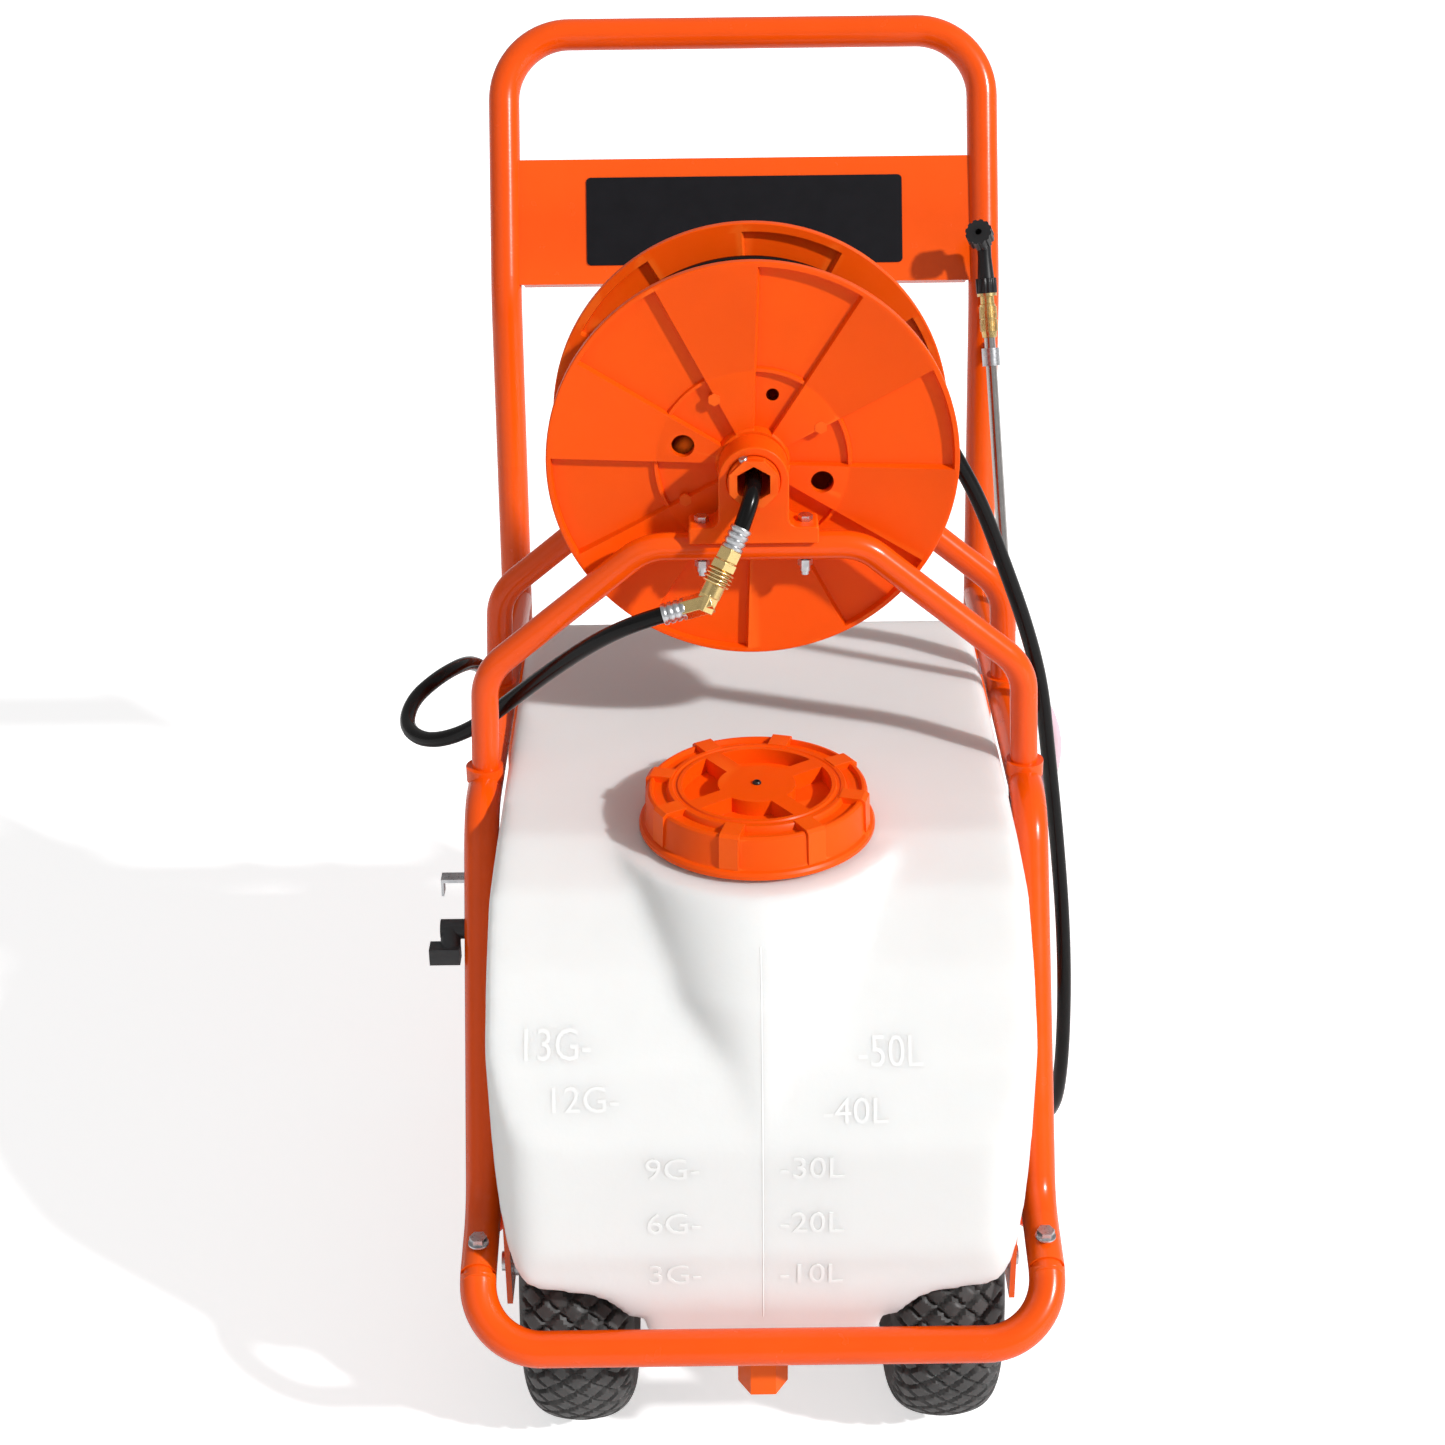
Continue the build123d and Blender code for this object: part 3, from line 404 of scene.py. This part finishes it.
def make_lid():
    """The screw lid with four sunk wells, eight grip pads round its rim and a vent in the middle."""
    place = basis(at(*NECK, 0), UP)
    bm = bmesh.new()
    outer = [(79, 525.4), (79, 508), (91, 508), (91, 511), (89.6, 513), (87, 514), (86, 516), (85, 536)]
    top = [(84.3, 538.6), (82.5, 540), (80.5, 540), (79.2, 536.6), (69.8, 536.6), (68.6, 540.4)]
    disc = [(67.8, 541.2), (64.6, 541.2), (63.8, 540.4), (61.6, 540.4), (60.8, 541.6)]
    spindle(bm, outer + top + disc, place, 144)
    lid = loose("lid_shell", bm)
    for k in range(4):
        middle = 80 + 90 * k
        half_outer, half_inner = 37.5, 30.5
        well = arc(0, 0, 57.5, middle - half_outer, middle + half_outer, 14)
        well += arc(0, 0, 30, middle + half_inner, middle - half_inner, 10)
        bm = bmesh.new()
        prism(bm, well, 529.4, 560, place)
        combine(lid, bm, "DIFFERENCE")
    pad = [(66, 541.9), (83.6, 541.9), (86.6, 539.6), (87.6, 514), (84, 514), (83, 532), (66, 532)]
    for k in range(8):
        bm = bmesh.new()
        turn = radians(45 * k + 30)
        out = Vector((cos(turn), sin(turn), 0))
        prism(bm, pad, -7.5, 7.5, basis(at(*NECK, 0), out.cross(UP), out))
        combine(lid, bm, "UNION")
    soften(lid, 0.8)
    piece(lid, PLASTIC, "lid", ["tank_lid"], 30)
    bm = bmesh.new()
    spindle(bm, [(3.4, 540), (3.4, 542.6), (2.6, 543.6), (1.6, 543.8), (1.2, 542.4)], place, 24)
    piece(loose("lid_vent", bm), BLACK, "lid")


# --- reel ----------------------------------------------------------------------------------


def flange_section(raised):
    """The flange's cut at one angle: pressed up in a raised sector, hollow behind it."""
    floor, inner_floor, back = (7.6, 7.6, 5.6) if raised else (1.6, 1.1, 0.0)
    lip = 7.4 if raised else 5.0
    return [
        (20.2, 0), (76, 0), (77, back), (152, back), (153.2, 0), (159.2, 0), (160, 0.8), (160, 7.2),
        (159.2, 8), (156.2, 8), (155.2, floor), (77, floor), (76.2, lip), (73.8, lip), (73, inner_floor),
        (29, inner_floor), (27.5, 9.5), (20.2, 9.5),
    ]


SECTORS, SECTOR_STEPS = 12, 12


def make_flange(name, face_back, outward, node):
    """A reel disc pressed into raised and sunk sectors, with holes round its hub."""
    place = basis(at(0, face_back, REEL_Z), REARWARD * outward, RIGHT)
    angles = []
    for sector in range(SECTORS):
        start = 30 * sector - 1.65
        angles += [(start + 29.3 * k / SECTOR_STEPS, sector % 2 == 1) for k in range(SECTOR_STEPS + 1)]
    bm = bmesh.new()
    rings = []
    for angle, raised in angles:
        c, s = cos(radians(angle)), sin(radians(angle))
        section = flange_section(raised)
        rings.append([bm.verts.new(place @ (Vector((r * c, r * s, h)) * MM)) for r, h in section])
    for a, b in zip(rings, rings[1:] + rings[:1]):
        for i in range(len(a)):
            j = (i + 1) % len(a)
            bm.faces.new((a[i], a[j], b[j], b[i]))
    flange = loose(name, bm)
    for angle, r in ((74, 5), (164, 9), (254, 9), (344, 9)):
        bm = bmesh.new()
        spot = place @ (Vector((56 * cos(radians(angle)), 56 * sin(radians(angle)), 0)) * MM)
        spindle(bm, [(r, -5), (r, 20)], basis(spot, REARWARD * outward), 32)
        combine(flange, bm, "DIFFERENCE")
    soften(flange, 0.7, 2, 40)
    piece(flange, PLASTIC, "reel", [node], 30)


def make_hubs():
    """The front hub with its hexagonal mouth and set screw, the rear hub and the web in the drum."""
    bm = bmesh.new()
    spindle(bm, [(19.6, 286), (20, 286.6), (20, 334)], basis(at(0, 0, REEL_Z), REARWARD), 64)
    hub = loose("reel_front_hub", bm)
    bm = bmesh.new()
    prism(bm, regular(8, 37), 282, 289.5, basis(at(0, 0, REEL_Z), REARWARD))
    combine(hub, bm, "UNION")
    bm = bmesh.new()
    prism(bm, regular(6, 25), 270, 330, basis(at(0, 0, REEL_Z), REARWARD, RIGHT))
    combine(hub, bm, "DIFFERENCE")
    soften(hub, 0.9)
    piece(hub, PLASTIC, "reel", crease=30)
    bm = bmesh.new()
    spindle(bm, [(19, 485.6), (20, 484.6), (20, 434)], basis(at(0, 0, REEL_Z), REARWARD), 64)
    hub = loose("reel_rear_hub", bm)
    soften(hub, 0.6)
    piece(hub, PLASTIC, "reel")
    bm = bmesh.new()
    lathe(bm, [(20, 382), (72, 382), (72, 386), (20, 386)], basis(at(0, 0, REEL_Z), REARWARD), 64)
    piece(loose("reel_drum_web", bm), PLASTIC, "reel")
    bm = bmesh.new()
    tilt = basis(at(-7, 287, REEL_Z + 16), Vector((-0.3, -0.3, 1)))
    spindle(bm, [(3.4, 0), (3.4, 4.0), (2.8, 4.7)], tilt, 24)
    screw = loose("hub_set_screw", bm)
    bm = bmesh.new()
    prism(bm, [(-4, -0.5), (4, -0.5), (4, 0.5), (-4, 0.5)], 3.6, 6, tilt)
    combine(screw, bm, "DIFFERENCE")
    piece(screw, ZINC, "reel", crease=30)


def make_joint_sleeves():
    """The stubs inside the tubes where the bumper meets the side rails."""
    bm = bmesh.new()
    for s in (1, -1):
        end, onward = at(218.5 * s, 42, 203), at(218.5 * s, 104, 218)
        spindle(bm, [(11.8, -9), (12.3, -8.4), (12.3, 45)], basis(end, onward - end), 40)
    piece(loose("joint_sleeves", bm), PAINT)


STAND_BACKS = (305, 463)


def make_bearings():
    """The moulded blocks on top of the two reel stands."""
    for number, back in enumerate(STAND_BACKS):
        half = [(50, 704.5), (50, 716.5), (48.5, 718), (34, 718)]
        half += arc(34, 725, 7, 270, 180, 6)[1:] + arc(0, REEL_Z, 27, 0, 90, 16)
        outline = half + [(-x, z) for x, z in reversed(half[:-1])]
        bm = bmesh.new()
        prism(bm, outline, -15, 15, basis(at(0, back, 0), -REARWARD, RIGHT))
        block = loose(f"bearing_block_{number}", bm)
        bm = bmesh.new()
        spindle(bm, [(20.4, -30), (20.4, 30)], basis(at(0, back, REEL_Z), REARWARD), 64)
        combine(block, bm, "DIFFERENCE")
        soften(block, 1.6, 3)
        piece(block, PLASTIC, nodes=["bearing_blocks"] if number == 0 else (), crease=30)


def make_dial():
    """The gauge's pale face with its ring of ticks, in the recess behind the needle."""
    low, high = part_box("pressure_gauge")
    middle = Vector(((low[0] + high[0]) / 2, 0, (low[2] + high[2]) / 2))
    face = basis(Vector((middle.x, high[1] - 7.95 * MM, middle.z)), REARWARD, -RIGHT)
    bm = bmesh.new()
    lathe(bm, [(2.2, 0), (18.8, 0), (18.8, 0.7), (2.2, 0.7)], face, 48)
    piece(loose("gauge_dial", bm), DIAL)
    bm = bmesh.new()
    for k in range(11):
        turn = face @ Matrix.Rotation(radians(-45 + 27 * k), 4, "Z")
        prism(bm, [(13.4, -0.35), (17.4, -0.35), (17.4, 0.35), (13.4, 0.35)], 0.6, 1.0, turn)
    piece(loose("gauge_ticks", bm), BLACK)


def make_winding():
    """Five layers of hose on the drum. It starts in the drum wall and ends where the free hose leaves it."""
    hose, first_r, step = 13.0, 80.8, 13.05
    rear, front, turns_per_layer = 427.0, 341.0, 6.5
    tail = Vector((114.9, 0, 819.9 - REEL_Z))
    end_angle, end_r, end_back = atan2(tail.z, tail.x), tail.length, 392.0
    total = 4 * turns_per_layer + turns_per_layer * (rear - end_back) / (rear - front)
    per_turn, points = 20, []
    count = round(total * per_turn)

    def ease(t):
        t = min(1.0, max(0.0, t))
        return t * t * (3 - 2 * t)

    for k in range(count + 1):
        turn = total * k / count
        layer = int(turn / turns_per_layer)
        part = turn / turns_per_layer - layer
        back = rear + (front - rear) * part if layer % 2 == 0 else front + (rear - front) * part
        r = first_r + step * layer + step * ease((part - 0.95) / 0.05)
        r -= 8 * (1 - ease(turn / 0.15))
        if layer == 4:
            r += (end_r - first_r - 4 * step) * ease((turn - total + 0.3) / 0.3)
        angle = end_angle + 2 * pi * (total - turn)
        points.append(at(r * cos(angle), back, REEL_Z + r * sin(angle)))
    coil = tube("wound_hose", points, hose / 2, HOSE, "reel", ["hose_winding"])


# --- hoses ---------------------------------------------------------------------------------

STUB_ROUTE = [(0, 312, 756), (0, 296, 755.4), (-1, 281, 750), (-5, 271, 739), (-10.4, 265, 726)]
INLET_ROUTE = [
    (-68, 244, 667), (-88, 251, 658), (-118, 270, 636), (-152, 296, 603), (-192, 325, 560), (-232, 348, 518),
    (-270, 368, 497), (-294, 400, 494), (-292, 438, 502), (-272, 472, 508), (-254, 510, 503),
    (-248, 552, 484), (-240, 592, 456), (-216, 618, 424), (-184, 626, 392), (-160, 627.5, 362),
    (-150, 628, 335),
]
TAIL_ROUTE = [
    (114.9, 392, 819.9), (136, 392, 782), (160, 393, 741), (184, 396, 697), (206, 402, 640), (228, 411, 580),
    (245, 421, 520), (254, 428, 458), (263, 434, 398), (271, 438, 338), (278, 441, 278), (283, 444, 218),
    (286, 448, 158), (287, 454, 104), (286, 467, 58), (281, 492, 25), (274, 526, 19), (266, 555, 42),
    (259, 570, 85), (254, 575, 135), (251, 575, 190),
]
CLEAR_ROUTE = [
    (150, 592, 250), (186, 592.5, 252), (226, 594, 264), (262, 598, 292), (286, 604, 334), (288, 612, 382),
    (264, 620, 421), (224, 626, 440), (180, 629, 442), (146, 629.5, 435),
]


def make_hoses():
    """The three declared hoses, and the short stub from the hub down to the swivel."""
    for name, node, route, diameter, length, finish in (
        ("inlet_pipe", "inlet_hose", INLET_ROUTE, 13, 0.706, HOSE),
        ("free_hose", "hose_tail", TAIL_ROUTE, 13, 1.059, HOSE),
        ("return_pipe", "return_hose", CLEAR_ROUTE, 14, 0.386, CLEAR),
    ):
        points = [at(*p) for p in route]
        obj = tube(name, points, diameter / 2, finish, nodes=[node])
    tube("reel_stub", [at(*p) for p in STUB_ROUTE], 6.5, HOSE, nodes=["hub_hose"])


def make_swivel():
    """Crimped steel ferrules, the brass swivel with its turned grooves and the brass elbow."""
    top, elbow, left = at(*STUB_ROUTE[-1]), at(-37, 244, 676), at(*INLET_ROUTE[0])
    down, side = elbow - top, left - elbow
    crimps = [(6.6, 0), (8.0, 0), (8.4, 0.6)]
    for k in range(3):
        crimps += [(8.4, 2.6 + 5 * k), (7.3, 3.6 + 5 * k), (7.3, 4.6 + 5 * k), (8.4, 5.4 + 5 * k)]
    crimps += [(8.4, 17.4), (7.6, 18.4)]
    bm = bmesh.new()
    spindle(bm, crimps, basis(top - down.normalized() * 2 * MM, down), 40)
    spindle(bm, crimps, basis(left + side.normalized() * 2 * MM, -side), 40)
    piece(loose("crimped_ferrules", bm), ZINC, nodes=["hose_ferrules"], crease=50)

    length = down.length / MM
    bm = bmesh.new()
    body = basis(top, down)
    prism(bm, regular(6, 17), 16, 25.5, body)
    prism(bm, regular(6, 18.5), 26.2, 33, body)
    spindle(bm, [(8, 15), (8, 36)], body, 32)
    for k in range(4):
        low = 33.5 + 3.1 * k
        ring = [(7, low), (9.6, low), (11.2, low + 0.7), (11.2, low + 1.7), (9.6, low + 2.5), (7, low + 2.5)]
        lathe(bm, ring, body, 48)
    spindle(bm, [(8.6, 33), (8.6, length - 5)], body, 32)
    prism(bm, regular(6, 15.5), length - 7, length + 7, body)
    prism(bm, regular(6, 15.5), -5, 19, basis(elbow, side))
    swivel = loose("swivel_and_elbow", bm)
    soften(swivel, 0.5)
    piece(swivel, BRASS, nodes=["brass_swivel"], crease=30)


WAND_HIGH, WAND_LOW = at(221, 697, 740), at(244.8, 583, 400)
NOZZLE_AXIS = Vector((-0.28, -0.72, 0.64))


def ribbed(count, low, high):
    """The outline of a grip ring: count ribs between two radii."""
    points = []
    for k in range(count):
        for share, r in ((0.0, low), (0.2, high), (0.55, high), (0.75, low)):
            turn = 2 * pi * (k + share) / count
            points.append((r * cos(turn), r * sin(turn)))
    return points


def make_nozzle():
    """The knurled brass couplers on the wand's end, and the black nut and elbow above them."""
    run = (WAND_HIGH - WAND_LOW).normalized()
    place = basis(WAND_HIGH + run * 2 * MM, run)
    core = [(5.6, -6), (6.4, -5.4), (7.0, -1), (7.0, 24), (6.2, 24.6), (6.2, 31), (8.8, 31.4), (8.8, 34)]
    bm = bmesh.new()
    spindle(bm, core, place, 40)
    for bottom in (0, 11.5):
        prism(bm, ribbed(28, 7.4, 8.0), bottom, bottom + 10.6, place)
    piece(loose("wand_nuts", bm), BRASS, nodes=["wand_coupler"], crease=30)

    bm = bmesh.new()
    prism(bm, ribbed(12, 8.7, 9.6), 34.2, 47.5, place)
    spindle(bm, [(7.6, 46), (7.4, 50), (6.2, 66), (6.4, 78)], place, 32)
    bend = place @ Vector((0, 0, 78 * MM))
    knee = Matrix.Translation(bend)
    bmesh.ops.create_uvsphere(bm, u_segments=32, v_segments=16, radius=6.6 * MM, matrix=knee)
    spindle(bm, [(6.5, -1), (6.5, 12)], basis(bend, NOZZLE_AXIS), 32)
    elbow = loose("nozzle_nut_and_elbow", bm)
    soften(elbow, 0.4)
    piece(elbow, BLACK, nodes=["nozzle_elbow"], crease=35)


# --- wheels --------------------------------------------------------------------------------


AROUND, BLOCKS, TREAD_DEPTH = 432, 36, 3.6
TREAD_FROM, SHOULDER, SIDEWALL_RIB = 104, 26, 88


def make_tyre(side, sign):
    """A tyre with a lattice of diamond tread blocks, shoulder lugs and a ribbed sidewall."""
    hub = at(WHEEL_X * sign, WHEEL_BACK, WHEEL_R)
    half = [(54, 26), (58, 30), (68, 39), (80, 44), (92, 45), (104, 42.5), (114, 37), (121, 28.5),
            (125.3, 16), (WHEEL_R, 0)]
    section = [(r, -w) for r, w in half] + [(r, w) for r, w in reversed(half[:-1])]
    fine = []
    for k in range(len(section) - 1):
        p0, p1 = Vector(section[max(k - 1, 0)]), Vector(section[k])
        p2, p3 = Vector(section[k + 1]), Vector(section[min(k + 2, len(section) - 1)])
        for j in range(6):
            t = j / 6
            fine.append(0.5 * (2 * p1 + (p2 - p0) * t + (2 * p0 - 5 * p1 + 4 * p2 - p3) * t * t
                               + (3 * p1 - p0 - 3 * p2 + p3) * t ** 3))
    fine.append(Vector(section[-1]))
    bm = bmesh.new()
    rings = []
    place = basis(hub, RIGHT, REARWARD)
    for k in range(AROUND):
        angle = 2 * pi * k / AROUND
        ring = []
        for r, w in fine:
            u, v = BLOCKS * k / AROUND, w / 22.0
            lattice = min(abs((u + v) % 1 - 0.5), abs((u - v) % 1 - 0.5))
            groove = 1 - min(1.0, max(0.0, (lattice - 0.07) / 0.05))
            cap = min(1.0, max(0.0, (r - TREAD_FROM) / 8))
            rib = 0.5 * max(0.0, 1 - abs(r - SIDEWALL_RIB) / 2.2) if abs(w) > 30 else 0
            r += rib - TREAD_DEPTH * groove * cap
            w -= copysign(TREAD_DEPTH * 0.5 * groove * cap * (abs(w) > SHOULDER), w)
            ring.append(bm.verts.new(place @ (Vector((r * cos(angle), r * sin(angle), w)) * MM)))
        for r, w in ((54, 20), (54, 0), (54, -20)):
            ring.append(bm.verts.new(place @ (Vector((r * cos(angle), r * sin(angle), w)) * MM)))
        rings.append(ring)
    for a, b in zip(rings, rings[1:] + rings[:1]):
        for i in range(len(a)):
            j = (i + 1) % len(a)
            bm.faces.new((a[i], a[j], b[j], b[i]))
    piece(loose(f"treaded_tyre_{side}", bm), TYRE, f"wheel_{side}", [f"tyre_{side}"], 42)


# --- stage ---------------------------------------------------------------------------------


SKY_LIGHT, SKY_SEEN, FLOOR_GLOW_SEEN = 0.36, 1.05, 0.58
LENS, SENSOR = 62.28, 36
CAMERA_PLACE = (-0.0276, -1.909, 1.439)
CAMERA_PITCH, CAMERA_YAW, CAMERA_ROLL = radians(90 - 26.5), radians(-0.061), radians(-0.655)


def lift_for_camera(tree, socket, plain, seen):
    """Gives a strength one value for the camera's own rays and another for the light that it sheds."""
    blend = tree.nodes.new("ShaderNodeMapRange")
    blend.inputs["To Min"].default_value, blend.inputs["To Max"].default_value = plain, seen
    tree.links.new(tree.nodes.new("ShaderNodeLightPath").outputs["Is Camera Ray"], blend.inputs["Value"])
    tree.links.new(blend.outputs["Result"], socket)


def make_stage():
    """A pale floor, a white surround, a sun, a soft fill and the photograph's camera."""
    bm = bmesh.new()
    bmesh.ops.create_grid(bm, x_segments=1, y_segments=1, size=30)
    floor = loose("floor", bm)
    card = material("floor_card", (0.93, 0.93, 0.93), 0.6, 0.004, 2, grain=90, bump=0.02,
                    Emission_Color=(1, 1, 1, 1))
    glow = card.node_tree.nodes["Principled BSDF"].inputs["Emission Strength"]
    lift_for_camera(card.node_tree, glow, 0, FLOOR_GLOW_SEEN)
    floor.data.materials.append(card)

    world = bpy.data.worlds.new("studio")
    bpy.context.scene.world = world
    world.use_nodes = True
    sky = world.node_tree.nodes["Background"]
    sky.inputs["Color"].default_value = (1.0, 1.0, 1.0, 1)
    lift_for_camera(world.node_tree, sky.inputs["Strength"], SKY_LIGHT, SKY_SEEN)

    def light(name, kind, energy, place, target, **settings):
        data = bpy.data.lights.new(name, kind)
        data.energy = energy
        for key, value in settings.items():
            setattr(data, key, value)
        lamp = bpy.data.objects.new(name, data)
        bpy.context.scene.collection.objects.link(lamp)
        lamp.location = place
        lamp.rotation_euler = (Vector(target) - Vector(place)).to_track_quat("-Z", "Y").to_euler()

    light("key", "SUN", 3.4, (2.84, -2.0, 2.9), (0, 0, 0.5), angle=radians(3))
    light("fill", "AREA", 4, (-2.2, -2.2, 2.2), (0, 0, 0.5), shape="DISK", size=2.5)

    bpy.context.scene.view_settings.view_transform = "Standard"
    camera = bpy.data.cameras.new("camera")
    camera.lens, camera.sensor_width = LENS, SENSOR
    holder = bpy.data.objects.new("camera", camera)
    bpy.context.scene.collection.objects.link(holder)
    turned = Matrix.Rotation(CAMERA_YAW, 4, "Z") @ Matrix.Rotation(CAMERA_PITCH, 4, "X")
    holder.matrix_world = Matrix.Translation(CAMERA_PLACE) @ turned @ Matrix.Rotation(CAMERA_ROLL, 4, "Z")
    bpy.context.scene.camera = holder


tank_tree = make_tank()
make_marks(tank_tree)
make_lid()
make_flange("reel_front_disc", 334, -1, "reel_front_flange")
make_flange("reel_rear_disc", 434, 1, "reel_rear_flange")
make_hubs()
make_bearings()
make_joint_sleeves()
make_dial()
make_winding()
make_hoses()
make_swivel()
make_nozzle()
make_tyre("right", 1)
make_tyre("left", -1)
make_stage()
